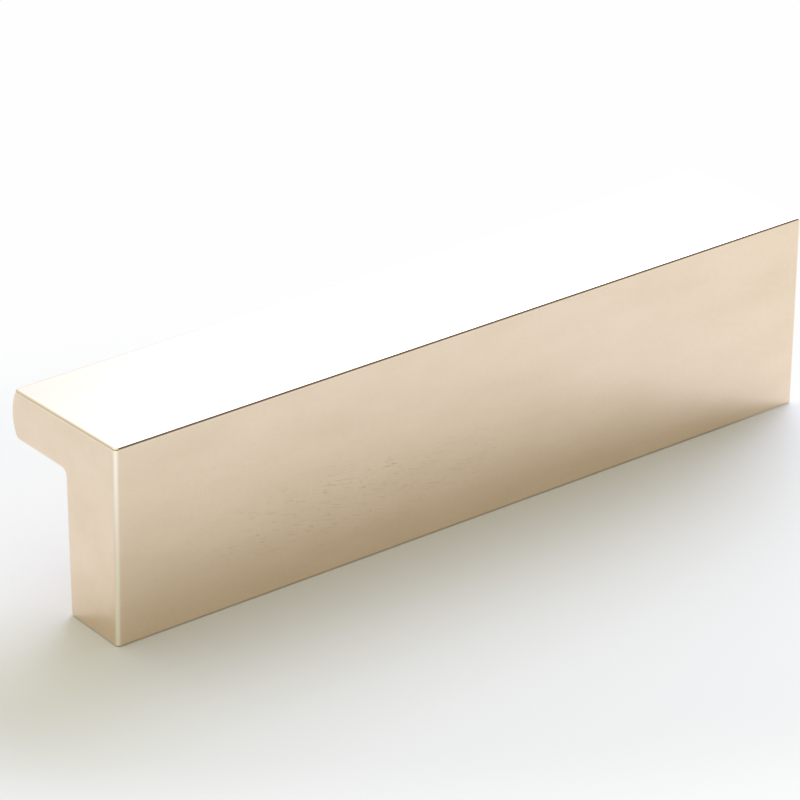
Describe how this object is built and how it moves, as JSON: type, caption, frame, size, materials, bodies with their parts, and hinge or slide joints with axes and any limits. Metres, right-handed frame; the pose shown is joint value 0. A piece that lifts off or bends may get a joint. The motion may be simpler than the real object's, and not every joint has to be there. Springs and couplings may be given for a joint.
{
  "type": "finger edge pull",
  "caption": "Solid L-section finger pull in polished pale brass, with a crowned lip to hook under and a flat foot tapped for screws from behind a door or drawer front.",
  "frame": {"origin": "on the flat foot, midway between the two screw holes", "axes": "+Z straight out from the door or drawer front that the foot is screwed to, +X along the bar, +Y from the leg's front face to the lip's tip"},
  "size_m": [0.1016, 0.0208, 0.0254],
  "materials": {
    "polished_brass": "pale champagne-coloured brass, machined flat and hand polished to a soft mirror"
  },
  "bodies": {
    "root": {"edge_pull": "polished_brass"}
  },
  "joints": []
}
